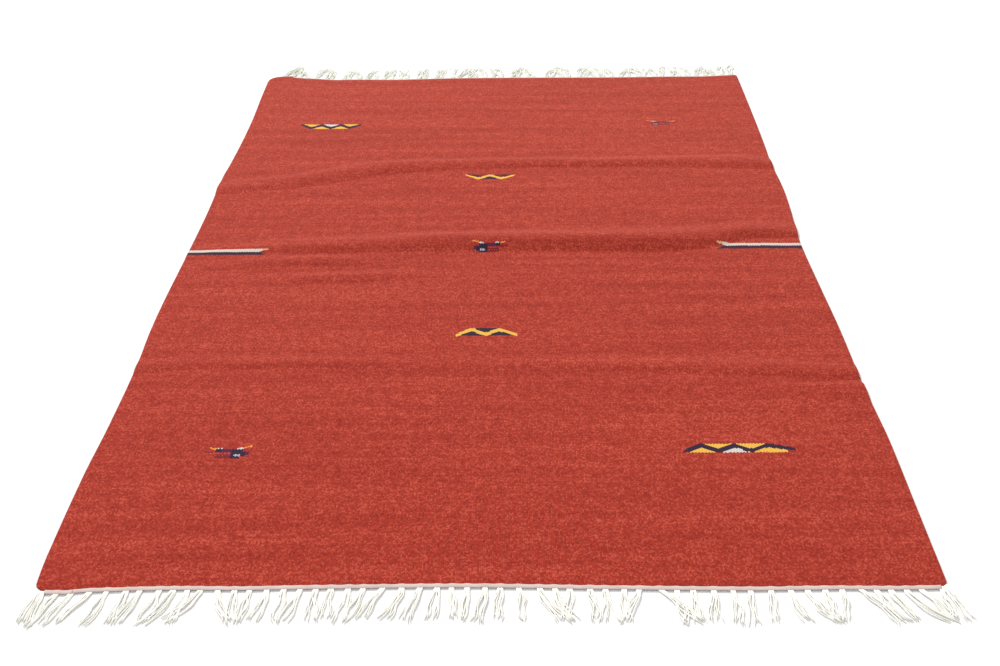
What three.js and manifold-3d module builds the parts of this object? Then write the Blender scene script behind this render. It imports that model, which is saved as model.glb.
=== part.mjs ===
// A flat-woven kilim rug, lying open on a floor. Millimetres, +Z up.
// The warps run along Y, from the near end at -Y to the far end at +Y.
// Three pieces: the woven field, and a heading with its fringe at each end.

import * as THREE from 'three';
import { mergeVertices } from 'three/addons/utils/BufferGeometryUtils.js';
import Module from 'manifold-3d';

const wasm = await Module();
wasm.setup();

// ---------------------------------------------------------------- driving sizes

const FIELD_WIDTH = 1700;
const FIELD_LENGTH = 2400;
const FIELD_THICKNESS = 4;
const PIECE_GAP = 0.3;

const HEADING_WIDTH = 7;
const HEADING_HEIGHT = 4.4;

const TUFT_COUNT = 54;
const TUFT_REACH = 78;
const TUFT_SPACING = 13;
const LOCK_WIDTH = 5;
const LOCK_HEIGHT = 3.2;

// Corner radii: the far left corner is worn round, and the near left one a little.
const CORNERS = {
  left: { near: 20, far: 44 },
  right: { near: 12, far: 8 },
};

// How far each edge bulges out from the straight line, by place along it.
const LEFT_EDGE = [
  { y: -1200, out: -7 },
  { y: -1130, out: -2.5 },
  { y: -900, out: 0 },
  { y: -760, out: -4 },
  { y: -540, out: -4.6 },
  { y: -390, out: 2.4 },
  { y: -250, out: 3.6 },
  { y: -60, out: 0.4 },
  { y: 190, out: -2 },
  { y: 430, out: 2 },
  { y: 520, out: -2.5 },
  { y: 690, out: -7 },
  { y: 850, out: -7 },
  { y: 1040, out: -1.4 },
  { y: 1200, out: 1.5 },
];
const RIGHT_EDGE = [
  { y: -1200, out: 0.5 },
  { y: -1000, out: 3 },
  { y: -800, out: 5.5 },
  { y: -690, out: 1 },
  { y: -610, out: -6.5 },
  { y: -560, out: -3.5 },
  { y: -490, out: -0.6 },
  { y: -380, out: -0.8 },
  { y: -220, out: -4.8 },
  { y: 0, out: -9.8 },
  { y: 95, out: -8.6 },
  { y: 184, out: 1 },
  { y: 330, out: 7.5 },
  { y: 510, out: 3 },
  { y: 600, out: 6 },
  { y: 745, out: 9 },
  { y: 1040, out: 12 },
  { y: 1200, out: 12.5 },
];
const NEAR_EDGE = [
  { x: -850, out: 12 },
  { x: -800, out: 12.5 },
  { x: -765, out: 8.6 },
  { x: -600, out: 3.2 },
  { x: -460, out: 3.9 },
  { x: -380, out: 2 },
  { x: -50, out: -2.4 },
  { x: 200, out: 1.8 },
  { x: 500, out: 5.6 },
  { x: 640, out: 3.4 },
  { x: 770, out: 4.2 },
  { x: 850, out: 2 },
];
const FAR_EDGE = [
  { x: -850, out: 22 },
  { x: -800, out: 22 },
  { x: -780, out: 14 },
  { x: -750, out: 6.5 },
  { x: -690, out: -2 },
  { x: -610, out: -14.5 },
  { x: -530, out: -14 },
  { x: -384, out: -18.2 },
  { x: -164, out: -10 },
  { x: 20, out: -10 },
  { x: 193, out: -12 },
  { x: 420, out: -15.2 },
  { x: 600, out: -13 },
  { x: 717, out: -13.5 },
  { x: 805, out: -6.4 },
  { x: 850, out: -1.5 },
];

// The folds that the rug keeps from being stored, as stations along each crest:
// the crest's place, its height, and its runs down to the floor on either side.
// The near side of a fold is the steep one.
const UPPER_FOLD = [
  { x: -850, y: 353, height: 5.8, near: 40, far: 62 },
  { x: -608, y: 408, height: 8.4, near: 58, far: 56 },
  { x: -460, y: 466, height: 8.4, near: 68, far: 54 },
  { x: -337, y: 489, height: 11.5, near: 54, far: 52 },
  { x: -182, y: 505, height: 9, near: 48, far: 46 },
  { x: 69, y: 507, height: 8.2, near: 36, far: 52 },
  { x: 300, y: 505, height: 8.4, near: 32, far: 50 },
  { x: 539, y: 512, height: 9.4, near: 37, far: 47 },
  { x: 758, y: 509, height: 9, near: 52, far: 54 },
  { x: 850, y: 492, height: 7, near: 38, far: 52 },
];
const MIDDLE_FOLD = [
  { x: -850, y: -34, height: 1.2, near: 21, far: 58 },
  { x: -715, y: -2, height: 2.8, near: 26, far: 74 },
  { x: -499, y: 14, height: 9, near: 40, far: 62 },
  { x: -293, y: 24, height: 12, near: 47, far: 66 },
  { x: -155, y: 34, height: 16.5, near: 56, far: 64 },
  { x: 62, y: 32, height: 19.5, near: 56, far: 72 },
  { x: 262, y: 32, height: 20.5, near: 57, far: 74 },
  { x: 484, y: 32, height: 20.5, near: 58, far: 84 },
  { x: 610, y: 50, height: 16, near: 53, far: 80 },
  { x: 690, y: 71, height: 14, near: 40, far: 77 },
  { x: 850, y: 80, height: 13, near: 34, far: 72 },
];
const LEFT_CREASE = [
  { x: -850, y: -104, height: 0, near: 24, far: 34 },
  { x: -620, y: -68, height: 2.8, near: 27, far: 33 },
  { x: -500, y: -59, height: 5.6, near: 34, far: 30 },
  { x: -400, y: -61, height: 4.2, near: 32, far: 30 },
  { x: -290, y: -68, height: 0, near: 24, far: 26 },
  { x: 850, y: -80, height: 0, near: 20, far: 26 },
];
const LOWER_LEFT_CREASE = [
  { x: -850, y: -168, height: 0, near: 26, far: 30 },
  { x: -600, y: -156, height: 1.6, near: 27, far: 31 },
  { x: -480, y: -147, height: 4.6, near: 30, far: 33 },
  { x: -280, y: -137, height: 4.2, near: 32, far: 33 },
  { x: -150, y: -130, height: 0, near: 26, far: 26 },
  { x: 850, y: -140, height: 0, near: 24, far: 24 },
];
const LOWER_FOLD = [
  { x: -850, y: -538, height: 3.6, near: 24, far: 42 },
  { x: -671, y: -520, height: 3.2, near: 25, far: 38 },
  { x: -397, y: -521, height: 3.8, near: 26, far: 42 },
  { x: -160, y: -523, height: 2.2, near: 24, far: 46 },
  { x: 183, y: -529, height: 2.4, near: 24, far: 44 },
  { x: 417, y: -538, height: 5.6, near: 28, far: 46 },
  { x: 648, y: -552, height: 8, near: 30, far: 46 },
  { x: 850, y: -561, height: 10.5, near: 32, far: 38 },
];
const RIGHT_SWELL = [
  { x: -850, y: -640, height: 0, near: 50, far: 18 },
  { x: 560, y: -622, height: 0, near: 50, far: 18 },
  { x: 640, y: -618, height: 2.2, near: 52, far: 18 },
  { x: 760, y: -616, height: 10, near: 54, far: 18 },
  { x: 850, y: -616, height: 14, near: 56, far: 18 },
];
const FOLDS = [
  RIGHT_SWELL,
  LOWER_FOLD,
  LOWER_LEFT_CREASE,
  LEFT_CREASE,
  MIDDLE_FOLD,
  UPPER_FOLD,
];

// Where the tufts are knotted along the heading, and how far their tips are swept
// sideways. Tufts are counted from the left. A stray is swept its own way.
const NEAR_TUFTS = {
  roots: [
    { tuft: 0, x: -817 },
    { tuft: 1, x: -797 },
    { tuft: 3, x: -735 },
    { tuft: 8, x: -581 },
    { tuft: 11, x: -499 },
    { tuft: 20, x: -228 },
    { tuft: 30, x: 98 },
    { tuft: 40, x: 418 },
    { tuft: 45, x: 590 },
    { tuft: 50, x: 742 },
    { tuft: 53, x: 828 },
  ],
  sweep: [
    { tuft: 0, x: -24 },
    { tuft: 4, x: -24 },
    { tuft: 14, x: -12 },
    { tuft: 24, x: -12 },
    { tuft: 30, x: 10 },
    { tuft: 42, x: 2 },
    { tuft: 48, x: 26 },
    { tuft: 53, x: 20 },
  ],
  strays: [
    { tuft: 3, x: -39, reach: 1 },
    { tuft: 8, x: -46, reach: 1.03 },
    { tuft: 11, x: 25, reach: 1 },
    { tuft: 16, x: -31, reach: 1 },
    { tuft: 21, x: -37, reach: 0.96 },
    { tuft: 30, x: 36, reach: 0.84 },
    { tuft: 31, x: 16, reach: 0.62 },
    { tuft: 37, x: 52, reach: 1 },
    { tuft: 45, x: 34, reach: 1 },
    { tuft: 48, x: 52, reach: 1.04 },
    { tuft: 51, x: 44, reach: 1.08 },
    { tuft: 52, x: 36, reach: 1.08 },
  ],
};
const FAR_TUFTS = {
  roots: [
    { tuft: 0, x: -800 },
    { tuft: 18, x: -250 },
    { tuft: 36, x: 300 },
    { tuft: 53, x: 840 },
  ],
  sweep: [
    { tuft: 0, x: 6 },
    { tuft: 9, x: 16 },
    { tuft: 18, x: -8 },
    { tuft: 27, x: 12 },
    { tuft: 36, x: -6 },
    { tuft: 45, x: 14 },
    { tuft: 53, x: 4 },
  ],
  strays: [
    { tuft: 5, x: -40, reach: 0.9 },
    { tuft: 13, x: 30, reach: 0.86 },
    { tuft: 22, x: 38, reach: 1 },
    { tuft: 31, x: -34, reach: 0.8 },
    { tuft: 41, x: 36, reach: 0.94 },
    { tuft: 49, x: -30, reach: 1 },
  ],
};

// ---------------------------------------------------------------- reading the tables

// The value of a column at a place between two rows, on a smooth curve through them.
function along(table, key, place, column) {
  const last = table.length - 1;
  const p = THREE.MathUtils.clamp(place, table[0][key], table[last][key]);
  let i = 0;
  while (i < last - 1 && table[i + 1][key] < p) {
    i += 1;
  }
  const before = table[Math.max(i - 1, 0)];
  const from = table[i];
  const to = table[i + 1];
  const after = table[Math.min(i + 2, last)];
  const run = to[key] - from[key];
  const leave = (run * (to[column] - before[column])) / (to[key] - before[key]);
  const arrive = (run * (after[column] - from[column])) / (after[key] - from[key]);
  const t = (p - from[key]) / run;
  const t2 = t * t;
  const t3 = t2 * t;
  return (
    (2 * t3 - 3 * t2 + 1) * from[column] +
    (t3 - 2 * t2 + t) * leave +
    (3 * t2 - 2 * t3) * to[column] +
    (t3 - t2) * arrive
  );
}

// How far the floor-side of the cloth is lifted by its folds.
function lift(x, y) {
  let height = 0;
  for (const fold of FOLDS) {
    const crest = along(fold, 'x', x, 'y');
    const top = Math.max(0, along(fold, 'x', x, 'height'));
    if (y >= crest) {
      const t = (y - crest) / along(fold, 'x', x, 'far');
      if (t < 1) {
        height += 0.5 * top * (1 + Math.cos(Math.PI * t));
      }
    } else {
      const t = (crest - y) / along(fold, 'x', x, 'near');
      if (t < 1) {
        height += top * Math.cos(0.5 * Math.PI * t);
      }
    }
  }
  return height;
}

// ---------------------------------------------------------------- the field's outline

function cornerInset(distance, radius) {
  const d = THREE.MathUtils.clamp(distance, 0, radius);
  return radius - Math.sqrt(radius * radius - (radius - d) * (radius - d));
}

function edgeX(side, y) {
  const table = side < 0 ? LEFT_EDGE : RIGHT_EDGE;
  const corner = side < 0 ? CORNERS.left : CORNERS.right;
  const at = (side * FIELD_WIDTH) / 2;
  const inset = cornerInset(endY(1, at) - y, corner.far) + cornerInset(y - endY(-1, at), corner.near);
  return side * (FIELD_WIDTH / 2 + along(table, 'y', y, 'out') - inset);
}

function endY(side, x) {
  const table = side < 0 ? NEAR_EDGE : FAR_EDGE;
  return side * (FIELD_LENGTH / 2 + along(table, 'x', x, 'out'));
}

// Courses run across the rug, from the near end to the far end. Each is a function
// that gives its y at x. They follow the folds, so a crest is never stepped.
const COLUMNS = 22;

function coursesOf(fold) {
  const at = (x, column) => along(fold, 'x', x, column);
  return [
    (x) => at(x, 'y') - at(x, 'near') - 3,
    (x) => at(x, 'y') - at(x, 'near') * 0.92,
    (x) => at(x, 'y') - at(x, 'near') * 0.5,
    (x) => at(x, 'y'),
    (x) => at(x, 'y') + at(x, 'far') * 0.4,
    (x) => at(x, 'y') + at(x, 'far') * 0.92,
  ];
}

function fill(courses, next, longest) {
  const last = courses[courses.length - 1];
  const steps = Math.max(1, Math.round((next(0) - last(0)) / longest));
  for (let i = 1; i < steps; i += 1) {
    const t = i / steps;
    courses.push((x) => last(x) * (1 - t) + next(x) * t);
  }
}

function allCourses() {
  const courses = [(x) => endY(-1, x)];
  for (const inset of [2, 6, 12]) {
    courses.push((x) => endY(-1, x) + inset);
  }
  for (const fold of FOLDS) {
    const own = coursesOf(fold);
    fill(courses, own[0], 85);
    courses.push(...own);
  }
  const corner = CORNERS.left.far;
  const atCorner = [1, 0.6, 0.3, 0.12, 0.03];
  fill(courses, (x) => endY(1, x) - corner, 85);
  for (const share of atCorner) {
    courses.push((x) => endY(1, x) - corner * share);
  }
  courses.push((x) => endY(1, x));
  return courses;
}

const COURSES = allCourses();

function fieldPoint(column, course) {
  const u = column / COLUMNS;
  const y = COURSES[course]((u - 0.5) * FIELD_WIDTH);
  const x = edgeX(-1, y) * (1 - u) + edgeX(1, y) * u;
  return new THREE.Vector3(x, y, lift(x, y));
}

// ---------------------------------------------------------------- meshes

function geometryOf(points, faces) {
  const geometry = new THREE.BufferGeometry();
  const xyz = points.flatMap((p) => [p.x, p.y, p.z]);
  geometry.setAttribute('position', new THREE.Float32BufferAttribute(xyz, 3));
  geometry.setIndex(faces.flat());
  return geometry;
}

function toManifold(geometry) {
  const merged = mergeVertices(geometry, 1e-4);
  const mesh = new wasm.Mesh({
    numProp: 3,
    vertProperties: new Float32Array(merged.attributes.position.array),
    triVerts: new Uint32Array(merged.index.array),
  });
  return new wasm.Manifold(mesh);
}

function fromManifold(solid) {
  const mesh = solid.getMesh();
  const geometry = new THREE.BufferGeometry();
  geometry.setAttribute('position', new THREE.BufferAttribute(mesh.vertProperties, 3));
  geometry.setIndex(new THREE.BufferAttribute(mesh.triVerts, 1));
  geometry.computeVertexNormals();
  return geometry;
}

// A solid lofted through rings of the same number of points, with its ends closed.
// The rings turn anticlockwise when looked at against the way the loft runs.
function loft(rings) {
  const size = rings[0].length;
  const faces = [];
  for (let r = 0; r < rings.length - 1; r += 1) {
    for (let k = 0; k < size; k += 1) {
      const a = r * size + k;
      const b = r * size + ((k + 1) % size);
      faces.push([a, b, b + size], [a, b + size, a + size]);
    }
  }
  const end = (rings.length - 1) * size;
  for (let k = 1; k < size - 1; k += 1) {
    faces.push([0, k + 1, k]);
    faces.push([end, end + k, end + k + 1]);
  }
  return geometryOf(rings.flat(), faces);
}

// ---------------------------------------------------------------- the woven field

// A sheet of even thickness over the lifted underside: two grids and the edge wall.
function wovenField() {
  const wide = COLUMNS + 1;
  const long = COURSES.length;
  const under = [];
  for (let course = 0; course < long; course += 1) {
    for (let column = 0; column < wide; column += 1) {
      under.push(fieldPoint(column, course));
    }
  }
  const above = under.map((p) => new THREE.Vector3(p.x, p.y, p.z + FIELD_THICKNESS));
  const top = under.length;
  const faces = [];
  for (let course = 0; course < long - 1; course += 1) {
    for (let column = 0; column < COLUMNS; column += 1) {
      const a = course * wide + column;
      const b = a + 1;
      const c = b + wide;
      const d = a + wide;
      faces.push([a, c, b], [a, d, c]);
      faces.push([top + a, top + b, top + c], [top + a, top + c, top + d]);
    }
  }
  const wall = (a, b) => faces.push([a, b, top + b], [a, top + b, top + a]);
  for (let column = 0; column < COLUMNS; column += 1) {
    const far = (long - 1) * wide + column;
    wall(column, column + 1);
    wall(far + 1, far);
  }
  for (let course = 0; course < long - 1; course += 1) {
    const left = course * wide;
    const right = left + COLUMNS;
    wall(left + wide, left);
    wall(right, right + wide);
  }
  return geometryOf([...under, ...above], faces);
}

// ---------------------------------------------------------------- headings and fringes

// The heading runs along the end of the field, parted from it by the piece gap.
function heading(side) {
  const course = side < 0 ? 0 : COURSES.length - 1;
  const rings = [];
  for (let column = 0; column <= COLUMNS; column += 1) {
    const p = fieldPoint(column, course);
    const inner = p.y + side * PIECE_GAP;
    const outer = inner + side * HEADING_WIDTH;
    const low = Math.min(inner, outer);
    const high = Math.max(inner, outer);
    rings.push([
      new THREE.Vector3(p.x, low, 0),
      new THREE.Vector3(p.x, high, 0),
      new THREE.Vector3(p.x, high, HEADING_HEIGHT),
      new THREE.Vector3(p.x, low, HEADING_HEIGHT),
    ]);
  }
  return toManifold(loft(rings));
}

// Each tuft: where it is knotted, where its tip lies, and how far it reaches.
// A tip keeps its place in the row, so that no tuft lies across its neighbour.
function tufts(side, layout) {
  const row = [];
  for (let tuft = 0; tuft < TUFT_COUNT; tuft += 1) {
    const root = along(layout.roots, 'tuft', tuft, 'x');
    const stray = layout.strays.find((s) => s.tuft === tuft);
    const swept = stray ? stray.x : along(layout.sweep, 'tuft', tuft, 'x') + 9 * Math.sin(2.3 * tuft);
    const reach = stray ? stray.reach : 1 + 0.05 * Math.sin(1.7 * tuft);
    row.push({ tuft, root, tip: root + swept, reach: reach * TUFT_REACH });
  }
  for (let tuft = 1; tuft < TUFT_COUNT; tuft += 1) {
    row[tuft].tip = Math.max(row[tuft].tip, row[tuft - 1].tip + TUFT_SPACING);
  }
  return row.map((t) => ({ ...t, start: endY(side, t.root) + side * (PIECE_GAP + HEADING_WIDTH) }));
}

// A lock is half of a tuft: it leaves the heading beside its twin, bends and lies
// flat on the floor. Its section is a low trapezoid.
function lock(side, tuft, hand) {
  const stations = [
    { t: -3 / tuft.reach, apart: 2.9, width: LOCK_WIDTH, height: LOCK_HEIGHT },
    { t: 0.42, apart: 2.8, width: LOCK_WIDTH * 0.9, height: LOCK_HEIGHT },
    { t: 1, apart: 3.3, width: LOCK_WIDTH * 0.7, height: LOCK_HEIGHT * 0.6 },
  ];
  const rings = stations.map((s) => {
    const sweep = Math.sign(s.t) * Math.abs(s.t) ** 1.25;
    const x = tuft.root + (tuft.tip - tuft.root) * sweep + hand * s.apart;
    const y = tuft.start + side * tuft.reach * s.t;
    const half = s.width / 2;
    return [
      new THREE.Vector3(x - half, y, 0),
      new THREE.Vector3(x + half, y, 0),
      new THREE.Vector3(x + half * 0.5, y, s.height),
      new THREE.Vector3(x - half * 0.5, y, s.height),
    ];
  });
  if (side > 0) {
    rings.reverse();
  }
  return toManifold(loft(rings));
}

function fringe(side, layout) {
  const solids = [heading(side)];
  for (const tuft of tufts(side, layout)) {
    solids.push(lock(side, tuft, -1), lock(side, tuft, 1));
  }
  return fromManifold(wasm.Manifold.union(solids));
}

// ---------------------------------------------------------------- the rug

const redWool = new THREE.MeshStandardMaterial({
  name: 'red_wool',
  color: 0xb5473a,
  roughness: 0.95,
  metalness: 0,
});
const nearCotton = new THREE.MeshStandardMaterial({
  name: 'near_cotton',
  color: 0xefe9df,
  roughness: 0.9,
  metalness: 0,
});
const farCotton = nearCotton.clone();
farCotton.name = 'far_cotton';

function piece(name, geometry, material) {
  const mesh = new THREE.Mesh(geometry, material);
  mesh.name = name;
  return mesh;
}

const group = new THREE.Group();
group.name = 'kilim_rug';
group.add(piece('woven_field', wovenField(), redWool));
group.add(piece('near_fringe', fringe(-1, NEAR_TUFTS), nearCotton));
group.add(piece('far_fringe', fringe(1, FAR_TUFTS), farCotton));

export default group;
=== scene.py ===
"""A flat-woven kilim rug lying open on a floor: a red wool field with a few small woven
figures, a cream cotton heading at each end, and the knotted warp ends as a fringe.
Metres, +Z up. The warps run along Y, from the near end at -Y to the far end at +Y."""

import math
import random

import bmesh
import bpy
from mathutils import Matrix, Vector, noise


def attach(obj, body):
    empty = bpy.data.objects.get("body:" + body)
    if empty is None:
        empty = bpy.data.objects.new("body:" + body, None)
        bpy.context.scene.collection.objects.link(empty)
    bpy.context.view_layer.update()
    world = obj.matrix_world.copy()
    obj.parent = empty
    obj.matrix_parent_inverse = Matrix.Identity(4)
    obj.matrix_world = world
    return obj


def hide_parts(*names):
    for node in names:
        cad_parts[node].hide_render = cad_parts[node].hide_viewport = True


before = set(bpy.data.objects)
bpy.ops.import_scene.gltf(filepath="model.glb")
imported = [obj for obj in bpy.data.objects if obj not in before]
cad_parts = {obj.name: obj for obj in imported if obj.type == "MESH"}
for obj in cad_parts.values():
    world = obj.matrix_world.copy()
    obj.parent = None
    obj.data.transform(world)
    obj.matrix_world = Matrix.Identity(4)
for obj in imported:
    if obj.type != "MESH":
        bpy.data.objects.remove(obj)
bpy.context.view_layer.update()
scene = bpy.context.scene

# ---------------------------------------------------------------- studio
# The rug is looked down on from eye height, from behind its near end. It lies on a white
# floor, lit by one large soft lamp above and beyond the far end, and a white room.

EYE = Vector((0.0624, -2.5378, 1.5482))
EYE_DOWN = math.radians(35.868)
EYE_TURN = math.radians(1.233)
EYE_ROLL = math.radians(-1.016)
EYE_LENS = 38.63
FLOOR_REACH = 30
FLOOR_DROP = 0.0002
FLOOR_WHITE = (0.86, 0.86, 0.86, 1)
ROOM_LIGHT = 0.78
LAMP_PLACE = Vector((-6.5, 13.0, 11.5))
LAMP_ACROSS = 4.4
LAMP_POWER = 3150

camera_data = bpy.data.cameras.new("eye")
camera_data.sensor_width = 36
camera_data.lens = EYE_LENS
camera = bpy.data.objects.new("eye", camera_data)
camera.matrix_world = (
    Matrix.Translation(EYE)
    @ Matrix.Rotation(EYE_TURN, 4, "Z")
    @ Matrix.Rotation(math.pi / 2 - EYE_DOWN, 4, "X")
    @ Matrix.Rotation(EYE_ROLL, 4, "Z")
)
scene.collection.objects.link(camera)
scene.camera = camera
scene.view_settings.view_transform = "Standard"

floor_mesh = bmesh.new()
bmesh.ops.create_grid(floor_mesh, x_segments=1, y_segments=1, size=FLOOR_REACH)
floor = bpy.data.objects.new("floor", bpy.data.meshes.new("floor"))
floor_mesh.to_mesh(floor.data)
floor_mesh.free()
floor.location.z = -FLOOR_DROP
scene.collection.objects.link(floor)
floor_paint = bpy.data.materials.new("white_floor")
floor_paint.use_nodes = True
matt_white = floor_paint.node_tree.nodes["Principled BSDF"].inputs
matt_white["Base Color"].default_value = FLOOR_WHITE
matt_white["Roughness"].default_value = 1
matt_white["Specular IOR Level"].default_value = 0
floor.data.materials.append(floor_paint)

room = bpy.data.worlds.new("white_room")
room.use_nodes = True
room_walls = room.node_tree.nodes["Background"].inputs
room_walls["Color"].default_value = (1, 1, 1, 1)
room_walls["Strength"].default_value = ROOM_LIGHT
scene.world = room

key = bpy.data.lights.new("key_lamp", "AREA")
key.shape = "DISK"
key.size = LAMP_ACROSS
key.energy = LAMP_POWER
key_lamp = bpy.data.objects.new("key_lamp", key)
key_lamp.location = LAMP_PLACE
key_lamp.rotation_euler = (-key_lamp.location).to_track_quat("-Z", "Y").to_euler()
scene.collection.objects.link(key_lamp)

# ---------------------------------------------------------------- woven field: its shape
# One piece of weft-faced wool cloth, 4 mm thick, on cotton warps. It was stored folded,
# so it lies with a few soft ridges across it, and its edges waver where it was pulled.

FIELD_WIDTH = 1.700
FIELD_LENGTH = 2.400
FIELD_THICKNESS = 0.004
RIM_ROUNDING = 0.0013
MM = 0.001

# How far each edge stands out from the plain rectangle at places along it, in mm.
LEFT_EDGE = [  # y, out
    (-1200, -7), (-1130, -2.5), (-900, 0), (-760, -4), (-540, -4.6), (-390, 2.4), (-250, 3.6),
    (-60, 0.4), (190, -2), (430, 2), (520, -2.5), (690, -7), (850, -7), (1040, -1.4),
    (1200, 1.5),
]
RIGHT_EDGE = [  # y, out
    (-1200, 0.5), (-1000, 3), (-800, 5.5), (-690, 2), (-610, -1), (-560, -1.5),
    (-490, -0.6), (-380, -0.8), (-220, -4.8), (0, -9.2), (95, -5), (184, 1.5), (330, 7.5),
    (510, 3), (600, 6), (745, 9), (1040, 12), (1200, 12.5),
]
NEAR_EDGE = [  # x, out
    (-850, 12), (-800, 12.5), (-765, 8.6), (-600, 3.2), (-460, 3.9), (-380, 2), (-50, -2.4),
    (200, 1.8), (500, 5.6), (640, 3.4), (770, 4.2), (850, 2),
]
FAR_EDGE = [  # x, out
    (-850, 22), (-800, 22), (-780, 14), (-750, 6.5), (-690, -2), (-610, -14.5), (-530, -14),
    (-384, -18.2), (-164, -10), (20, -10), (193, -12), (420, -15.2), (600, -13), (717, -13.5),
    (805, -6.4), (850, -1.5),
]
CORNER_RADIUS = {"near left": 20, "far left": 44, "near right": 12, "far right": 8}

# Each fold is a row of stations along its crest: x, the crest's y, its height, and its
# runs down to the floor on the near and far sides, in mm.
FOLDS = {
    "upper": [
        (-850, 353, 5.8, 40, 62), (-608, 408, 8.4, 58, 56), (-460, 466, 8.4, 68, 54),
        (-337, 489, 11.5, 54, 52), (-182, 505, 9, 48, 46), (69, 507, 8.2, 36, 52),
        (300, 505, 8.4, 32, 50), (539, 512, 9.4, 37, 47), (758, 509, 9, 52, 54),
        (850, 492, 7, 38, 52),
    ],
    "middle": [
        (-850, -34, 1.2, 21, 58), (-715, -2, 2.8, 26, 74), (-499, 14, 9, 40, 62),
        (-293, 24, 12, 47, 66), (-155, 34, 16.5, 56, 64), (62, 32, 19.5, 56, 72),
        (262, 32, 20.5, 57, 74), (484, 32, 20.5, 58, 84), (610, 50, 16, 53, 80),
        (690, 71, 13.5, 40, 77), (850, 80, 5.5, 36, 72),
    ],
    "left crease": [
        (-850, -104, 0, 24, 34), (-620, -68, 2.8, 27, 33), (-500, -59, 5.6, 34, 30),
        (-400, -61, 4.2, 32, 30), (-290, -68, 0, 24, 26), (850, -80, 0, 20, 26),
    ],
    "lower left crease": [
        (-850, -168, 0, 26, 30), (-600, -156, 1.6, 27, 31), (-480, -147, 4.6, 30, 33),
        (-280, -137, 4.2, 32, 33), (-150, -130, 0, 26, 26), (850, -140, 0, 24, 24),
    ],
    "lower": [
        (-850, -538, 3.6, 24, 42), (-671, -520, 3.2, 25, 38), (-397, -521, 3.8, 26, 42),
        (-160, -523, 2.2, 24, 46), (183, -529, 2.4, 24, 44), (417, -538, 5.6, 28, 46),
        (648, -552, 7.2, 30, 46), (850, -561, 5.5, 32, 38),
    ],
    "right swell": [
        (-850, -640, 0, 50, 18), (560, -622, 0, 50, 18), (640, -618, 2, 52, 18),
        (760, -616, 6, 54, 18), (850, -616, 6.5, 56, 18),
    ],
}


def along(table, place, column):
    """The value of a column at a place, on a smooth curve through the table's rows."""
    last = len(table) - 1
    p = min(max(place, table[0][0]), table[last][0])
    i = 0
    while i < last - 1 and table[i + 1][0] < p:
        i += 1
    before, start = table[max(i - 1, 0)], table[i]
    end, after = table[i + 1], table[min(i + 2, last)]
    run = end[0] - start[0]
    leave = run * (end[column] - before[column]) / (end[0] - before[0])
    arrive = run * (after[column] - start[column]) / (after[0] - start[0])
    t = (p - start[0]) / run
    return (
        (2 * t**3 - 3 * t**2 + 1) * start[column]
        + (t**3 - 2 * t**2 + t) * leave
        + (3 * t**2 - 2 * t**3) * end[column]
        + (t**3 - t**2) * arrive
    )


def lift(x, y):
    """How high the folds carry the underside of the cloth off the floor. A fold drops
    steeply to its near foot, and dies away softly on its far side."""
    height = 0
    for stations in FOLDS.values():
        top = max(0, along(stations, x / MM, 2)) * MM
        crest = along(stations, x / MM, 1) * MM
        if top and y >= crest:
            t = min(1, (y - crest) / (along(stations, x / MM, 4) * MM))
            height += 0.5 * top * (1 + math.cos(math.pi * t))
        elif top:
            t = min(1, (crest - y) / (along(stations, x / MM, 3) * MM))
            height += top * math.cos(0.5 * math.pi * t)
    return height


def corner_inset(distance, radius):
    """How far a rounded corner sets an edge back at a distance from where it would end."""
    d = min(max(distance, 0), radius)
    return radius - math.sqrt(radius**2 - (radius - d) ** 2)


def side_x(side, y):
    """Where the left or right edge of the cloth lies at y, its corners rounded."""
    hand = "left" if side < 0 else "right"
    table = LEFT_EDGE if side < 0 else RIGHT_EDGE
    corner = side * FIELD_WIDTH / 2
    out = along(table, y / MM, 1)
    inset = corner_inset((end_y(1, corner) - y) / MM, CORNER_RADIUS["far " + hand])
    inset += corner_inset((y - end_y(-1, corner)) / MM, CORNER_RADIUS["near " + hand])
    return side * (FIELD_WIDTH / 2 + (out - inset) * MM)


def end_y(side, x):
    """Where the near or far edge of the cloth lies at x, before its corners are rounded."""
    table = NEAR_EDGE if side < 0 else FAR_EDGE
    return side * (FIELD_LENGTH / 2 + along(table, x / MM, 1) * MM)


# Courses of the mesh lie closer together at the corners and where the cloth is folded.
FOLDED_BANDS = [(-0.70, -0.46), (-0.20, 0.19), (0.30, 0.59)]
NEAR_CORNERS, FAR_CORNERS = 0.012, 0.042
COARSE, FINE, ACROSS = 0.016, 0.0052, 150


def course_places():
    """The places of the courses along the cloth, from its near end to its far end."""
    places = [-FIELD_LENGTH / 2]
    while places[-1] < FIELD_LENGTH / 2:
        near_corner = places[-1] < -FIELD_LENGTH / 2 + NEAR_CORNERS
        far_corner = places[-1] > FIELD_LENGTH / 2 - FAR_CORNERS
        folded = any(low < places[-1] < high for low, high in FOLDED_BANDS)
        places.append(places[-1] + (FINE if folded or near_corner or far_corner else COARSE))
    places[-1] = FIELD_LENGTH / 2
    return places


# The cloth ripples a little between its folds, but lies flat along its four edges.
RIPPLE, FINE_RIPPLE = 0.0008, 0.0004

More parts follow.
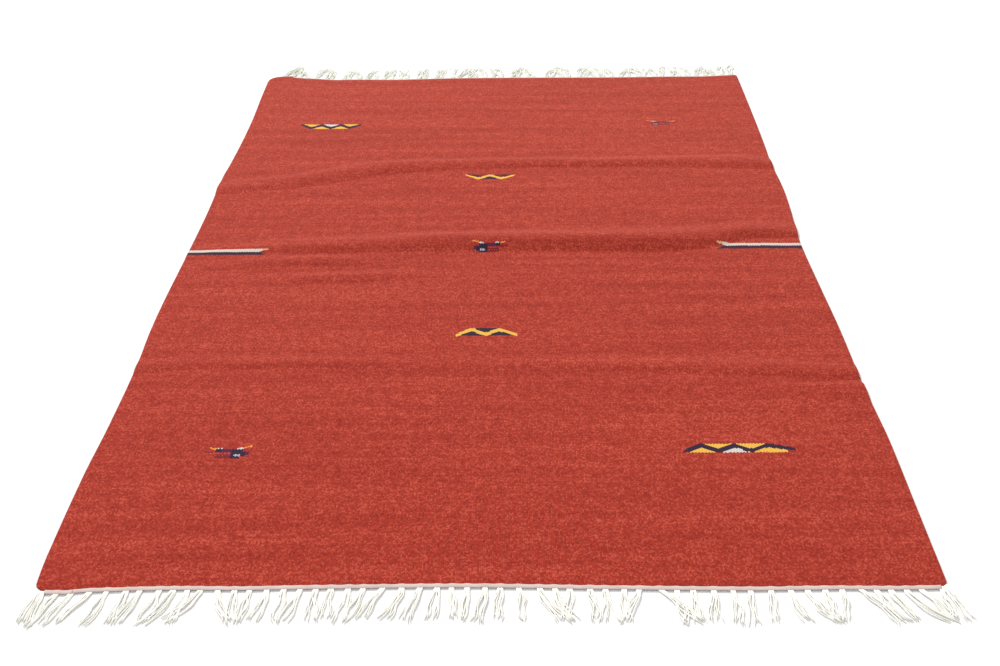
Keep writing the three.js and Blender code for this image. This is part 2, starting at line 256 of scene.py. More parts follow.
places = course_places()
cloth = bmesh.new()
bmesh.ops.create_grid(cloth, x_segments=ACROSS, y_segments=len(places) - 1, size=0.5)
cloth_map = cloth.loops.layers.uv.new("cloth")
flat_place = {}
for vertex in cloth.verts:
    share = vertex.co.x + 0.5
    course = round((vertex.co.y + 0.5) * (len(places) - 1))
    flat = Vector((vertex.co.x * FIELD_WIDTH, places[course]))
    toward_end = flat.y / (FIELD_LENGTH / 2)
    end = math.copysign(1, flat.y)
    bow = abs(toward_end) ** 3 * (end_y(end, flat.x) - end * FIELD_LENGTH / 2)
    y = flat.y + bow
    x = side_x(-1, y) * (1 - share) + side_x(1, y) * share
    broad = noise.noise(Vector((flat.x * 5, flat.y * 9, 0)))
    fine = noise.noise(Vector((flat.x * 17, flat.y * 26, 4)))
    ripple = RIPPLE + RIPPLE * broad + FINE_RIPPLE * fine
    fade = min(1, 18 * (0.5 - abs(vertex.co.x)), 9 * (1 - abs(toward_end)))
    vertex.co = (x, y, lift(x, y) + FIELD_THICKNESS + ripple * fade)
    flat_place[vertex] = flat
for face in cloth.faces:
    face.smooth = True
    for loop in face.loops:
        loop[cloth_map].uv = flat_place[loop.vert]
woven_field = bpy.data.objects.new("red_field", bpy.data.meshes.new("red_field"))
cloth.to_mesh(woven_field.data)
cloth.free()
scene.collection.objects.link(woven_field)
thickness = woven_field.modifiers.new("thickness", "SOLIDIFY")
thickness.thickness = FIELD_THICKNESS
thickness.offset = -1
rim = woven_field.modifiers.new("rounded_rim", "BEVEL")
rim.width = RIM_ROUNDING
rim.segments = 2
rim.limit_method = "ANGLE"
rim.angle_limit = math.radians(50)
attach(woven_field, "root")
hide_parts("woven_field")

# ---------------------------------------------------------------- woven field: its weave
# Each weft passes over every second warp, so the cloth shows ribs of rounded beads of
# yarn, and the beads of one rib lie half a bead off those of the next.

RIB = 0.0035
BEAD = 0.0036
WEFT_SWAY = 0.010


class Wiring:
    """Adds nodes to a tree and wires them in the order in which they are written."""

    def __init__(self, tree):
        self.tree = tree

    def add(self, kind, inputs=(), output=0, **settings):
        """Adds a node, gives its inputs values or links, and returns one of its outputs."""
        node = self.tree.nodes.new(kind)
        for name, value in settings.items():
            setattr(node, name, value)
        pairs = inputs.items() if isinstance(inputs, dict) else enumerate(inputs)
        for key, value in pairs:
            if isinstance(value, bpy.types.NodeSocket):
                self.tree.links.new(value, node.inputs[key])
            elif value is not None:
                node.inputs[key].default_value = value
        return node.outputs[output]

    def math(self, operation, *inputs, clamp=False):
        return self.add("ShaderNodeMath", inputs, operation=operation, use_clamp=clamp)

    def vector(self, x=0.0, y=0.0, z=0.0):
        return self.add("ShaderNodeCombineXYZ", (x, y, z))

    def noise(self, vector, scale, detail=2.0):
        return self.add("ShaderNodeTexNoise", {"Vector": vector, "Scale": scale, "Detail": detail})

    def between(self, share, a, b):
        """A number between a and b."""
        return self.add("ShaderNodeMix", {"Factor": share, "A": a, "B": b}, data_type="FLOAT")

    def mix(self, share, a, b, blend="MIX"):
        """A colour between a and b, or another blend of them."""
        node = self.tree.nodes.new("ShaderNodeMix")
        node.data_type = "RGBA"
        node.blend_type = blend
        for key, value in (("Factor_Float", share), ("A_Color", a), ("B_Color", b)):
            socket = next(s for s in node.inputs if s.identifier == key)
            if isinstance(value, bpy.types.NodeSocket):
                self.tree.links.new(value, socket)
            else:
                socket.default_value = value
        return next(s for s in node.outputs if s.identifier == "Result_Color")


def new_group(name, inputs, outputs):
    """A shader node group, with a Wiring for its nodes and its own sockets to wire them to."""
    group = bpy.data.node_groups.new(name, "ShaderNodeTree")
    for direction, sockets in (("INPUT", inputs), ("OUTPUT", outputs)):
        for socket_name, kind in sockets:
            socket_type = "NodeSocket" + kind
            group.interface.new_socket(socket_name, in_out=direction, socket_type=socket_type)
    wiring = Wiring(group)
    entry = group.nodes.new("NodeGroupInput")
    leave = group.nodes.new("NodeGroupOutput")
    return group, wiring, entry.outputs, leave.inputs


weave, w, given, result = new_group(
    "weft_beads",
    [("Cloth", "Vector")],
    [
        ("Height", "Float"), ("Bead X", "Float"), ("Bead Y", "Float"),
        ("Bead Tint", "Float"), ("Pick Tint", "Float"),
    ],
)
cloth_x = w.add("ShaderNodeSeparateXYZ", (given["Cloth"],))
cloth_y = cloth_x.node.outputs[1]
sway = w.math("MULTIPLY", w.math("SUBTRACT", w.noise(given["Cloth"], 9.0), 0.5), WEFT_SWAY)
cloth_y = w.math("ADD", cloth_y, sway)
rib = w.math("DIVIDE", cloth_x, RIB)
rib_number = w.math("FLOOR", rib)
odd = w.math("FLOORED_MODULO", rib_number, 2.0)
half_step = w.math("MULTIPLY", odd, 0.5)
bead = w.math("ADD", w.math("DIVIDE", cloth_y, BEAD), half_step)
bead_number = w.math("FLOOR", bead)


def rounded_yarn(place, number):
    """1 along the middle of a rib or bead, falling to 0 at its borders."""
    from_middle = w.math("SUBTRACT", w.math("SUBTRACT", place, number), 0.5)
    fall = w.math("MULTIPLY", w.math("MULTIPLY", from_middle, from_middle), 4.0)
    return w.math("SUBTRACT", 1.0, fall)


# A bead is round across its rib, and stands half as proud again at its middle.
across = rounded_yarn(rib, rib_number)
lengthwise = w.math("MULTIPLY", rounded_yarn(bead, bead_number), 0.6)
dome = w.math("MULTIPLY", across, w.math("ADD", lengthwise, 0.4))
dome = w.math("POWER", dome, 0.5)

# Each bead takes the dye in its own way, and each pick of weft in another.
cell = w.vector(rib_number, bead_number)
bead_tint = w.add("ShaderNodeTexWhiteNoise", {"Vector": cell}, noise_dimensions="2D")
pick_number = w.math("ADD", w.math("MULTIPLY", bead_number, 2.0), w.math("SUBTRACT", 1.0, odd))
along_pick = w.vector(w.math("MULTIPLY", cloth_x, 3.0), w.math("MULTIPLY", pick_number, 7.31))
pick_tint = w.noise(along_pick, 1.0, 1.0)
along_fibre = w.vector(w.math("MULTIPLY", cloth_x, 900.0), w.math("MULTIPLY", cloth_y, 2600.0))
fibre = w.noise(along_fibre, 1.0, 2.0)

# The middle of the bead is what a figure is woven by, so its edges step by whole beads.
bead_x = w.math("MULTIPLY", w.math("ADD", rib_number, 0.5), RIB)
bead_middle = w.math("SUBTRACT", w.math("ADD", bead_number, 0.5), half_step)
bead_y = w.math("SUBTRACT", w.math("MULTIPLY", bead_middle, BEAD), sway)
w.tree.links.new(w.math("ADD", dome, w.math("MULTIPLY", fibre, 0.12)), result["Height"])
w.tree.links.new(bead_x, result["Bead X"])
w.tree.links.new(bead_y, result["Bead Y"])
w.tree.links.new(bead_tint, result["Bead Tint"])
w.tree.links.new(pick_tint, result["Pick Tint"])

# ---------------------------------------------------------------- woven field: its figures
# The figures are woven in with wefts of other colours, so their edges step from bead to
# bead: zigzags with filled hollows, small birds with raised wings, and selvedge stripes.

NAVY = (0.024, 0.014, 0.036, 1)
YELLOW = (0.76, 0.43, 0.070, 1)
ORANGE = (0.78, 0.27, 0.055, 1)
WHITE = (0.60, 0.57, 0.54, 1)
LILAC = (0.42, 0.37, 0.44, 1)
MAROON = (0.17, 0.013, 0.022, 1)
PURPLE = (0.085, 0.013, 0.055, 1)


def inside(w, value, low, high):
    """1 where the value lies between low and high."""
    over_low = w.math("GREATER_THAN", value, low)
    return w.math("MULTIPLY", over_low, w.math("LESS_THAN", value, high))


# A wavy line with evenly spaced peaks, and hollows under its peaks and over its dips.
# Past its outer peaks it runs down on both sides as a tapering tail, and the hollow under
# it stops short of the tip.
TAIL_HOLLOW = 0.7
ZIGZAG_SIZES = [
    "Step", "Rise", "Line", "Outer Peak", "Phase",
    "Left Tail", "Left Drop", "Right Tail", "Right Drop",
]
zigzag, w, given, result = new_group(
    "zigzag_figure",
    [(name, "Float") for name in ("X", "Y", "Taper", *ZIGZAG_SIZES)],
    [(name, "Float") for name in ("Line Mask", "Under Mask", "Over Mask", "Middle Mask")],
)
reach_x = w.math("ABSOLUTE", given["X"])
swing = w.math("DIVIDE", w.math("ADD", reach_x, given["Phase"]), given["Step"])
rounded = w.math("COSINE", w.math("MULTIPLY", swing, math.pi))
pointed = w.math("SUBTRACT", 1.0, w.math("MULTIPLY", w.math("PINGPONG", swing, 1.0), 2.0))
wave = w.math("MULTIPLY", w.math("ADD", rounded, pointed), w.math("MULTIPLY", given["Rise"], 0.5))
to_right = w.math("GREATER_THAN", given["X"], 0.0)
tail = w.between(to_right, given["Left Tail"], given["Right Tail"])
drop = w.between(to_right, given["Left Drop"], given["Right Drop"])
past_peak = w.math("DIVIDE", w.math("SUBTRACT", reach_x, given["Outer Peak"]), tail)
run_out = w.math("MULTIPLY", w.math("POWER", w.math("MAXIMUM", past_peak, 0.0), 1.1), drop)
run_out = w.math("SUBTRACT", given["Rise"], run_out)
outside = w.math("GREATER_THAN", past_peak, 0.0)
centre = w.between(outside, wave, run_out)
above = w.math("SUBTRACT", given["Y"], centre)
narrowing = w.math("POWER", w.math("MAXIMUM", past_peak, 0.0), 2.0)
taper = w.math("SUBTRACT", 1.0, w.math("MULTIPLY", narrowing, given["Taper"]))
half_line = w.math("MULTIPLY", w.math("MULTIPLY", given["Line"], 0.5), taper)
full_height = w.math("ADD", given["Rise"], w.math("MULTIPLY", given["Line"], 0.46))
within = w.math("LESS_THAN", w.math("ABSOLUTE", given["Y"]), full_height)
line = w.math("LESS_THAN", w.math("ABSOLUTE", above), half_line)
line = w.math("MULTIPLY", line, w.math("LESS_THAN", past_peak, 1.0))
under = w.math("LESS_THAN", above, w.math("MULTIPLY", half_line, -1.0))
under = w.math("MULTIPLY", under, within)
under = w.math("MULTIPLY", under, w.math("LESS_THAN", past_peak, TAIL_HOLLOW))
over = w.math("MULTIPLY", w.math("GREATER_THAN", above, half_line), within)
over = w.math("MULTIPLY", over, w.math("LESS_THAN", past_peak, 0.0))
middle = w.math("LESS_THAN", reach_x, given["Step"])
w.tree.links.new(line, result["Line Mask"])
w.tree.links.new(under, result["Under Mask"])
w.tree.links.new(over, result["Over Mask"])
w.tree.links.new(middle, result["Middle Mask"])

# A bird seen from the side, facing +X, charted in mm from the middle of its body:
# colour, left, right, low, high, and how much it rises over its length.
BIRD_CHART = [
    (ORANGE, -46, -27, 6.5, 11, -6),
    (WHITE, -28, -16, 3.5, 8, -2),
    (ORANGE, 28, 46, 6.5, 11, 5),
    (WHITE, 15, 29, 3, 7.5, 2),
    (MAROON, -52, -33, -8, -4, 0),
    (NAVY, -30, 28, -6.5, 4.5, 0),
    (PURPLE, -16, 5, -6.5, 4.5, 0),
    (MAROON, -28, 5, -24, -18, 0),
    (MAROON, -28, 5, -15, -12, 0),
    (PURPLE, 26, 42, -14, -4, 0),
    (NAVY, 26, 35, -19, -6, 0),
    (NAVY, 4, 27, -25, -5, 0),
    (LILAC, 12, 25, -18, -12, 0),
]
bird, w, given, result = new_group(
    "bird_figure", [("X", "Float"), ("Y", "Float")], [("Color", "Color"), ("Mask", "Float")],
)
bird_color, bird_mask = WHITE, None
for tone, left, right, low, high, rise in BIRD_CHART:
    share = w.math("DIVIDE", w.math("SUBTRACT", given["X"], left * MM), (right - left) * MM)
    level = w.math("SUBTRACT", given["Y"], w.math("MULTIPLY", share, rise * MM))
    lengthwise = inside(w, given["X"], left * MM, right * MM)
    patch = w.math("MULTIPLY", lengthwise, inside(w, level, low * MM, high * MM))
    bird_color = w.mix(patch, bird_color, tone)
    bird_mask = patch if bird_mask is None else w.math("MAXIMUM", bird_mask, patch)
w.tree.links.new(bird_color, result["Color"])
w.tree.links.new(bird_mask, result["Mask"])

# ---------------------------------------------------------------- woven field: its wool
# The weft is hand-spun wool in one dye lot of brick red. It took the dye unevenly, so the
# cloth is flecked from bead to bead, and faintly banded from one stretch to the next.

BRICK = (0.352, 0.0315, 0.0180, 1)
FLECK_LIGHT = (0.585, 0.092, 0.058, 1)
FLECK_DARK = (0.215, 0.0115, 0.0080, 1)

wool = bpy.data.materials.new("brick_red_wool")
wool.use_nodes = True
w = Wiring(wool.node_tree)
shader = wool.node_tree.nodes["Principled BSDF"]
cloth_place = w.add("ShaderNodeUVMap", uv_map="cloth")
beads = wool.node_tree.nodes.new("ShaderNodeGroup")
beads.node_tree = weave
w.tree.links.new(cloth_place, beads.inputs["Cloth"])
bead_x, bead_y = beads.outputs["Bead X"], beads.outputs["Bead Y"]
bead_tint, pick_tint = beads.outputs["Bead Tint"], beads.outputs["Pick Tint"]


def dye_noise(across, lengthwise, detail, seed=0.0):
    """How the dye varies from bead to bead, at so many changes a metre each way."""
    x, y = w.math("MULTIPLY", bead_x, across), w.math("MULTIPLY", bead_y, lengthwise)
    return w.noise(w.vector(x, y, seed), 1.0, detail)


banding = dye_noise(1.2, 26.0, 3.0)
mottle = w.noise(cloth_place, 34.0, 3.0)
streak = dye_noise(55.0, 150.0, 1.0, 3.0)
fleck = dye_noise(170.0, 300.0, 1.0)
tone = w.math("MULTIPLY", w.math("SUBTRACT", bead_tint, 0.5), 0.58)
UNEVENNESS = ((pick_tint, 0.5), (fleck, 0.4), (mottle, 0.4), (banding, 0.5), (streak, 0.45))
for layer, weight in UNEVENNESS:
    tone = w.math("ADD", tone, w.math("MULTIPLY", w.math("SUBTRACT", layer, 0.5), weight))
# Wool between the two thresholds keeps the plain brick red.
darker = w.math("MULTIPLY", w.math("SUBTRACT", -0.02, tone), 2.0, clamp=True)
lighter = w.math("MULTIPLY", w.math("SUBTRACT", tone, 0.03), 2.0, clamp=True)
color = w.mix(darker, BRICK, FLECK_DARK)
color = w.mix(lighter, color, FLECK_LIGHT)


def lay_zigzag(color, x, y, turn, taper, sizes, tones):
    """Lays a zigzag over the field colour. turn is -1 for one woven the other way up."""
    figure = wool.node_tree.nodes.new("ShaderNodeGroup")
    figure.node_tree = zigzag
    for bead, place, name in ((bead_x, x, "X"), (bead_y, y, "Y")):
        from_middle = w.math("SUBTRACT", bead, place * MM)
        w.tree.links.new(w.math("MULTIPLY", from_middle, float(turn)), figure.inputs[name])
    figure.inputs["Taper"].default_value = taper
    for name, size in zip(ZIGZAG_SIZES, sizes):
        figure.inputs[name].default_value = size * MM
    line_tone, under_tone, middle_tone, over_tone = tones
    under = w.mix(figure.outputs["Middle Mask"], under_tone, middle_tone)
    color = w.mix(figure.outputs["Under Mask"], color, under)
    color = w.mix(figure.outputs["Over Mask"], color, over_tone)
    return w.mix(figure.outputs["Line Mask"], color, line_tone)


# The colours of the line, the outer hollows under it, the middle one, and those over it.
LONG_TONES = (NAVY, YELLOW, WHITE, YELLOW)
SHORT_TONES = (YELLOW, NAVY, NAVY, NAVY)
DARK_TONES = (YELLOW, (0.06, 0.012, 0.028, 1), MAROON, (0.035, 0.012, 0.045, 1))
ZIGZAGS = [  # x and y of the middle, turn, taper, sizes in mm, tones
    (516, -823.5, 1, 0.35, (35, 7.6, 13.6, 70, 0, 40, 20, 57, 13), LONG_TONES),
    (-573, 789, -1, 0.45, (32.5, 9.5, 18, 65, 0, 36, 22, 38, 24), LONG_TONES),
    (-18, -398, 1, 0.3, (34.5, 9.5, 14, 34.5, 34.5, 40, 26, 42, 23), SHORT_TONES),
    (-25, 416, -1, 0.6, (35, 9.5, 13, 35, 35, 44, 23, 42, 26), DARK_TONES),
]
for x, y, turn, taper, sizes, tones in ZIGZAGS:
    color = lay_zigzag(color, x, y, turn, taper, sizes, tones)

# Each bird's middle, the way it faces along X, and how strong its colours still are.
BIRDS = [(-561, -827, 1, 1.0), (-14, -1, -1, 1.0), (534, 803, -1, 0.65)]
for x, y, facing, strength in BIRDS:
    figure = wool.node_tree.nodes.new("ShaderNodeGroup")
    figure.node_tree = bird
    from_middle = w.math("SUBTRACT", bead_x, x * MM)
    w.tree.links.new(w.math("MULTIPLY", from_middle, float(facing)), figure.inputs["X"])
    w.tree.links.new(w.math("SUBTRACT", bead_y, y * MM), figure.inputs["Y"])
    mask = w.math("MULTIPLY", figure.outputs["Mask"], strength)
    color = w.mix(mask, color, figure.outputs["Color"])

# Each selvedge has a white stripe over a navy one. Their tips run out as single picks,
# the white one in a tan.
TAN = (0.66, 0.33, 0.13, 1)
CREAM = (0.63, 0.54, 0.46, 1)
STRIPES = [(-1, -19, 202, 12.5), (1, 1, 214, 15.5)]  # side, y, reach inward, navy's depth, in mm
for side, middle_y, reach, depth in STRIPES:
    inward = w.math("SUBTRACT", FIELD_WIDTH / 2, w.math("MULTIPLY", bead_x, float(side)))
    past = w.math("SUBTRACT", inward, reach * MM)
    level = w.math("SUBTRACT", bead_y, middle_y * MM)
    white_low = w.math("MULTIPLY", w.math("MAXIMUM", w.math("ADD", past, 7 * MM), 0.0), 0.36)
    white = inside(w, level, white_low, 12.5 * MM)
    white = w.math("MULTIPLY", white, w.math("LESS_THAN", past, 23 * MM))
    tip = w.math("MULTIPLY", w.math("GREATER_THAN", past, 4 * MM), 0.75)
    navy = inside(w, level, -depth * MM, 0.5 * MM)
    navy = w.math("MULTIPLY", navy, w.math("LESS_THAN", past, w.math("MULTIPLY", level, -1.4)))
    color = w.mix(navy, color, NAVY)
    color = w.mix(white, color, w.mix(tip, CREAM, TAN))

# Painted shade: the gaps between the beads are darkened against their crowns.
shade = w.math("ADD", 0.80, w.math("MULTIPLY", beads.outputs["Height"], 0.24))
shade_color = w.add("ShaderNodeCombineColor", (shade, shade, shade))
color = w.mix(1.0, color, shade_color, "MULTIPLY")
w.tree.links.new(color, shader.inputs["Base Color"])
relief = {"Height": beads.outputs["Height"], "Distance": 0.0007, "Strength": 0.8}
w.tree.links.new(w.add("ShaderNodeBump", relief), shader.inputs["Normal"])
shader.inputs["Roughness"].default_value = 0.92
shader.inputs["Specular IOR Level"].default_value = 0.08
shader.inputs["Sheen Weight"].default_value = 0.16
shader.inputs["Sheen Roughness"].default_value = 0.5
shader.inputs["Sheen Tint"].default_value = (1.0, 0.58, 0.44, 1)
woven_field.data.materials.append(wool)

# ---------------------------------------------------------------- cream cotton
# The headings and the fringe are the undyed cotton of the warps: soft two-ply yarn,
# slightly yellow and grey with handling, that shows the slant of its twist close up.
# Painted shade darkens the grooves between its plies a little, and greys the far fringe.

PLY_PITCH = 0.0060

plied, w, given, result = new_group(
    "plied_cotton",
    [("Thread", "Vector"), ("Place", "Vector")],
    [("Ply", "Float"), ("Height", "Float"), ("Soil And Shade", "Float")],
)
thread = w.add("ShaderNodeSeparateXYZ", (given["Thread"],))
twist = w.math("ADD", thread, w.math("DIVIDE", thread.node.outputs[1], PLY_PITCH))
ply = w.math("ABSOLUTE", w.math("SINE", w.math("MULTIPLY", twist, 2 * math.pi)))
hair = w.noise(given["Place"], 420.0, 3.0)
# A random mottle of soil. For the far fringe it also spreads painted shade.
soil_and_shade = w.math("SUBTRACT", w.noise(given["Place"], 38.0, 3.0), 0.42)
soil_and_shade = w.math("MULTIPLY", soil_and_shade, 2.6, clamp=True)
w.tree.links.new(ply, result["Ply"])
w.tree.links.new(w.math("ADD", ply, w.math("MULTIPLY", hair, 0.5)), result["Height"])
w.tree.links.new(soil_and_shade, result["Soil And Shade"])


def cotton(name, pale_tone, soiled_and_shaded_tone):
    """A material of the plied cotton, mottled at random between a pale colour and a darker one:
    soil, and for the far fringe also painted shade.
    """
    material = bpy.data.materials.new(name)
    material.use_nodes = True
    w = Wiring(material.node_tree)
    shader = material.node_tree.nodes["Principled BSDF"]
    yarn = material.node_tree.nodes.new("ShaderNodeGroup")
    yarn.node_tree = plied
    w.tree.links.new(w.add("ShaderNodeUVMap", uv_map="thread"), yarn.inputs["Thread"])
    w.tree.links.new(w.add("ShaderNodeTexCoord", output="Object"), yarn.inputs["Place"])
    color = w.mix(yarn.outputs["Soil And Shade"], pale_tone, soiled_and_shaded_tone)
    # Painted shade: the cotton is darkened a little in the grooves between its plies.
    painted_ply_shade = w.math("ADD", 0.95, w.math("MULTIPLY", yarn.outputs["Ply"], 0.05))
    painted_ply_shade_color = w.add("ShaderNodeCombineColor", (painted_ply_shade, painted_ply_shade, painted_ply_shade))
    color = w.mix(1.0, color, painted_ply_shade_color, "MULTIPLY")
    w.tree.links.new(color, shader.inputs["Base Color"])
    relief = {"Height": yarn.outputs["Height"], "Distance": 0.0002, "Strength": 0.3}
    w.tree.links.new(w.add("ShaderNodeBump", relief), shader.inputs["Normal"])
    shader.inputs["Roughness"].default_value = 0.88
    shader.inputs["Specular IOR Level"].default_value = 0.15
    return material


# ---------------------------------------------------------------- headings
# A band of cotton twined in and out of the warps closes each end of the field, and has
# taken a little of the red. The warps are knotted under its outer edge.

HEADING_WIDTH = 0.0064
HEADING_GAP = 0.0003
HEADING_SHORT = 0.004
HEADING_MIDDLE = 0.0032
HEADING_STEPS, HEADING_SIDES = 560, 12
KNOT_SPREAD, KNOT_REACH = 6.5, 20
# The heading's cotton is pinkish from the red. It is also darker than the fringe's, partly as
# painted shade, so that its shaded outer face shows as a dark line along the end.
heading_cotton_dimmed_for_shade = cotton("pinkish_cream_cotton_dimmed_for_shade", (0.66, 0.55, 0.51, 1), (0.60, 0.46, 0.42, 1))

# Where the tufts leave the headings, in mm from the middle.
NEAR_ROOTS = [
    -830, -797, -769, -735, -705, -669, -643, -607, -581, -555, -530, -499, -467, -439,
    -407, -375, -345, -316, -288, -256, -228, -191, -157, -122, -91, -65, -35, -2, 26,
    60, 98, 126, 154, 191, 220, 255, 283, 320, 351, 381, 418, 454, 486, 524, 559, 590,
    623, 654, 687, 715, 742, 771, 797, 841,
]
FAR_TUFTS = 54
FAR_ROOTS = [
    -800 + 1640 * i / (FAR_TUFTS - 1) + 5 * math.sin(2.9 * i) for i in range(FAR_TUFTS)
]


def squared(wave, power):
    """A wave between -1 and 1, made boxier by a power below 1."""
    return math.copysign(abs(wave) ** power, wave)


def heading(name, side, roots):
    """A rolled band along one end, with a low swelling over each knot."""
    band = bmesh.new()
    bmesh.ops.create_grid(band, x_segments=HEADING_STEPS, y_segments=HEADING_SIDES, size=0.5)
    thread_map = band.loops.layers.uv.new("thread")
    for face in band.faces:
        face.smooth = True
        for loop in face.loops:
            loop[thread_map].uv = (loop.vert.co.y, loop.vert.co.x * FIELD_WIDTH)
    for vertex in band.verts:
        flat_x = vertex.co.x * (FIELD_WIDTH - HEADING_SHORT)
        turn = side * vertex.co.y * 2 * math.pi
        edge = end_y(side, flat_x)
        left, right = side_x(-1, edge), side_x(1, edge)
        share = flat_x / FIELD_WIDTH + 0.5
        x = left * (1 - share) + right * share
        knots = [x / MM - root for root in roots if abs(x / MM - root) < KNOT_REACH]
        knot = sum(math.exp(-((off / KNOT_SPREAD) ** 2)) for off in knots)
        waver = noise.noise(Vector((x * 60, side * 3.0, 0)))
        lie = noise.noise(Vector((x * 14, side * 7.0, 2)))
        inner = 0.0012 + 0.0010 * knot + 0.0006 * waver
        outer = HEADING_GAP + HEADING_WIDTH + 0.0006 * lie
        half_width = 0.5 * (inner + outer)
        middle = 0.5 * (outer - inner)
        rise = 0.0010 + 0.0003 * knot + 0.0002 * waver
        across = squared(math.cos(turn), 0.45)
        out = middle + half_width * across
        z = HEADING_MIDDLE - 0.0005 * across + 0.0003 * lie + rise * squared(math.sin(turn), 0.7)
        vertex.co = (x, edge + side * out, z)
    bmesh.ops.remove_doubles(band, verts=band.verts, dist=1e-6)
    bmesh.ops.holes_fill(band, edges=[e for e in band.edges if e.is_boundary])
    bmesh.ops.recalc_face_normals(band, faces=band.faces)
    piece = bpy.data.objects.new(name, bpy.data.meshes.new(name))
    band.to_mesh(piece.data)
    band.free()
    piece.data.materials.append(heading_cotton_dimmed_for_shade)
    scene.collection.objects.link(piece)
    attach(piece, "root")
    return piece


near_heading = heading("near_heading", -1, NEAR_ROOTS)
far_heading = heading("far_heading", 1, FAR_ROOTS)
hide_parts("near_fringe")
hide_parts("far_fringe")

# ---------------------------------------------------------------- fringe
# The warps end in soft cotton yarns, knotted in tufts of six to ten. Each tuft leaves its
# knot as two hands that lie open on the floor, wavy and a little tangled at the tips.

YARN_RADIUS = 0.0013
YARN_SIDES = 6
YARN_STEPS = 8
YARN_PITCH = 1.6
TUFT_REACH = 77
fringe_cotton = cotton("cream_cotton", (0.96, 0.935, 0.87, 1), (0.92, 0.90, 0.82, 1))
# The far fringe's cotton is greyer and greener than the near one's. This is painted shade among
# its clumps, mixed in by the same mottle as the soil.
far_cotton_with_painted_shade = cotton("cream_cotton_painted_grey_shade", (0.84, 0.84, 0.76, 1), (0.66, 0.68, 0.58, 1))

# How far the tips of each tuft lie to the right of its knot, in mm.
NEAR_SWEEPS = [
    -4, -27, -28, -40, -18, -10, -21, -17, -40, -14, -40, 25, 10, -9, -9, -3, -31, -5, -5, -9,
    -31, -37, -25, -24, -10, 7, -5, -18, -4, 9, 45, 29, -5, 14, 10, -5, -27, 68, 10, 6,
    -10, 7, -10, -5, 19, 41, 6, -8, 58, 32, 27, 60, 40, 12,
]
# The far tufts lean together in clumps, whose tips lie at these places.
FAR_CLUMPS = [
    -745, -655, -625, -555, -545, -465, -405, -370, -285, -220, -180, -110, -75, -20,
    70, 100, 205, 245, 280, 315, 360, 385, 480, 520, 550, 600, 640, 680, 735, 760, 815, 850,
]
FAR_SWEEPS = [
    min(FAR_CLUMPS, key=lambda clump: abs(clump - root - 14 * math.sin(1.3 * i))) - root
    for i, root in enumerate(FAR_ROOTS)
]

# One straight yarn, 1 long and 1 in radius, which each yarn of the fringe is bent from.
yarn_length = bmesh.new()
bmesh.ops.create_cone(
    yarn_length, cap_ends=True, segments=YARN_SIDES, radius1=1, radius2=0.5, depth=1,
    matrix=Matrix.Translation((0, 0, 0.5)),
)
long_edges = [e for e in yarn_length.edges if abs(e.verts[0].co.z - e.verts[1].co.z) > 0.5]
bmesh.ops.subdivide_edges(yarn_length, edges=long_edges, cuts=YARN_STEPS - 1, use_grid_fill=True)
for vertex in yarn_length.verts:
    if 0.01 < vertex.co.z < 0.99:
        vertex.co.xy = vertex.co.xy.normalized()
thread_map = yarn_length.loops.layers.uv.new("thread")
for face in yarn_length.faces:
    face.smooth = True
    middle = face.calc_center_median()
    around_face = math.atan2(middle.y, middle.x)
    for loop in face.loops:
        around = math.atan2(loop.vert.co.y, loop.vert.co.x)
        around = around_face + math.remainder(around - around_face, 2 * math.pi)
        loop[thread_map].uv = (around / (2 * math.pi), loop.vert.co.z * TUFT_REACH * MM)
straight_yarn = bpy.data.meshes.new("straight_yarn")
yarn_length.to_mesh(straight_yarn)
yarn_length.free()


def lay_yarn(fringe_mesh, path):
    """Adds one yarn, bent along a path that gives its middle at a share of its length."""
    count = len(fringe_mesh.verts)
    fringe_mesh.from_mesh(straight_yarn)
    fringe_mesh.verts.ensure_lookup_table()
    for vertex in fringe_mesh.verts[count:]:
        share = vertex.co.z
        middle = path(share)
        ahead = (path(share + 0.02) - path(share - 0.02)).normalized()
        across = ahead.cross(Vector((0, 0, 1))).normalized()
        over = across.cross(ahead)
        vertex.co = middle + (across * vertex.co.x + over * vertex.co.y) * YARN_RADIUS


def corner_cut(side, x):
    """How far the rounding of the corner sets back an end of the cloth at x."""
    table = LEFT_EDGE if x < 0 else RIGHT_EDGE
    edge = FIELD_WIDTH / 2 + along(table, side * FIELD_LENGTH / 2 / MM, 1) * MM
    radius = CORNER_RADIUS[("near " if side < 0 else "far ") + ("left" if x < 0 else "right")]
    return corner_inset((edge - abs(x)) / MM, radius) * MM


TURN = 6.28
HAND_PLACE, CORNER_HAND_PLACE = 2.3, 4.6
ROOT_OUT = 0.0045


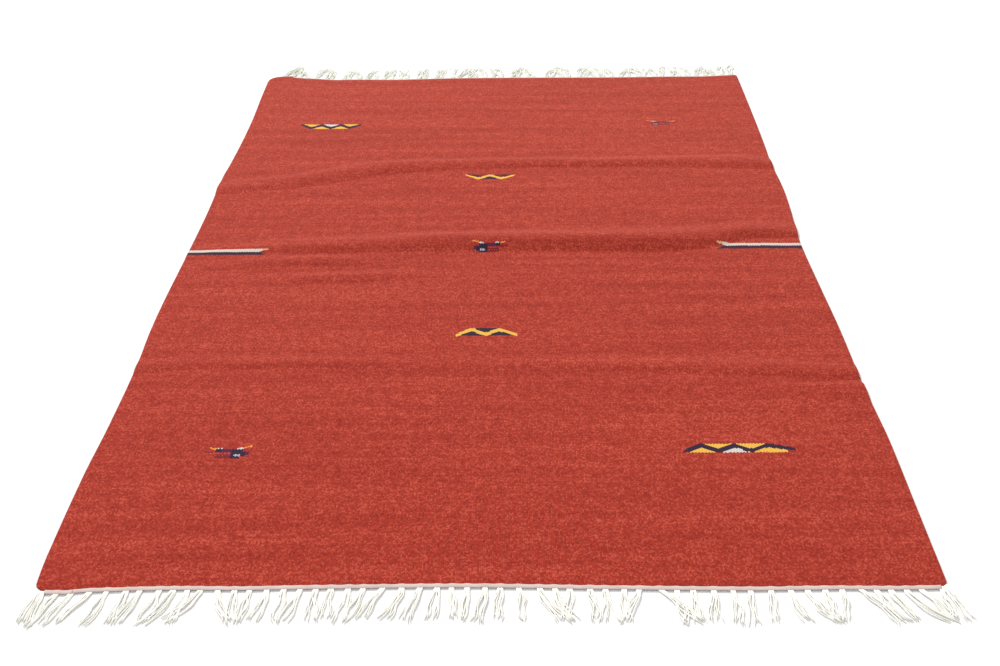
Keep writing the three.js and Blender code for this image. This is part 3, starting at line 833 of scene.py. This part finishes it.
def fringe(name, side, roots, sweeps, seed, yarns_a_hand, loose, longer, material):
    """The yarns of one end. loose is how far they stray, and longer how much they reach."""
    chance = random.Random(seed)
    fringe_mesh = bmesh.new()
    for tuft, (root, sweep) in enumerate(zip(roots, sweeps)):
        corner = side < 0 and tuft in (0, len(roots) - 1)
        reach = TUFT_REACH * longer * (1 + 0.05 * math.sin(1.7 * tuft)) * MM
        bend = chance.uniform(0.9, 1.7)
        for hand in (-1, 1):
            splay = chance.uniform(1.5, 5.0) * loose * MM
            wave = chance.uniform(0.9, 3.2) * loose * MM
            turns = chance.uniform(0.7, 1.6)
            phase = chance.uniform(0, TURN)
            curl = chance.uniform(-9, 9) * loose * MM
            yarns = 5 if corner else yarns_a_hand
            for yarn in range(yarns):
                slot = yarn - (yarns - 1) / 2
                hand_place = hand * (CORNER_HAND_PLACE if corner else HAND_PLACE)
                start = (root + hand_place + slot * YARN_PITCH) * MM
                out = (0.0 if corner else ROOT_OUT) - corner_cut(side, start)
                root_y = end_y(side, start) + side * out
                fan = slot * chance.uniform(1.0, 2.2) * loose * MM
                own = chance.uniform(0.3, 1.4) * loose * MM
                own_phase = chance.uniform(0, TURN)
                own_turns = chance.uniform(1.2, 2.6)
                length = reach * chance.uniform(0.88, 1.05)
                stray = chance.uniform(-7, 7) * loose * MM if chance.random() < 0.25 else 0
                tier = chance.choice((0.0, 0.0010, 0.0018)) * loose
                pile = 0.0010 * (yarn % 2)

                def path(t):
                    s = max(t, 0)
                    x = start + (sweep * MM) * s**bend + hand * splay * math.sin(2.2 * s) + fan * s
                    sway = math.sin(turns * TURN * s + phase) * min(1, 3 * s)
                    own_sway = math.sin(own_turns * TURN * s + own_phase) * min(1, 4 * s)
                    x += wave * sway + curl * s**4
                    x += own * own_sway + stray * s**2
                    fall = max(0, 1 - 6 * s) ** 2
                    arch = math.sin(min(1, 1.1 * s) * TURN / 2)
                    z = YARN_RADIUS + (0.0004 + 0.5 * pile) * fall + (tier + 0.6 * pile) * arch
                    return Vector((x, root_y + side * length * t, z))

                lay_yarn(fringe_mesh, path)
    piece = bpy.data.objects.new(name, bpy.data.meshes.new(name))
    fringe_mesh.to_mesh(piece.data)
    fringe_mesh.free()
    piece.data.materials.append(material)
    scene.collection.objects.link(piece)
    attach(piece, "root")
    return piece


near_yarns = fringe(
    "near_fringe_yarns", -1, NEAR_ROOTS, NEAR_SWEEPS,
    seed=4, yarns_a_hand=3, loose=1.0, longer=1.0, material=fringe_cotton,
)
far_yarns = fringe(
    "far_fringe_yarns", 1, FAR_ROOTS, FAR_SWEEPS,
    seed=9, yarns_a_hand=4, loose=1.5, longer=1.27, material=far_cotton_with_painted_shade,
)
bpy.data.meshes.remove(straight_yarn)
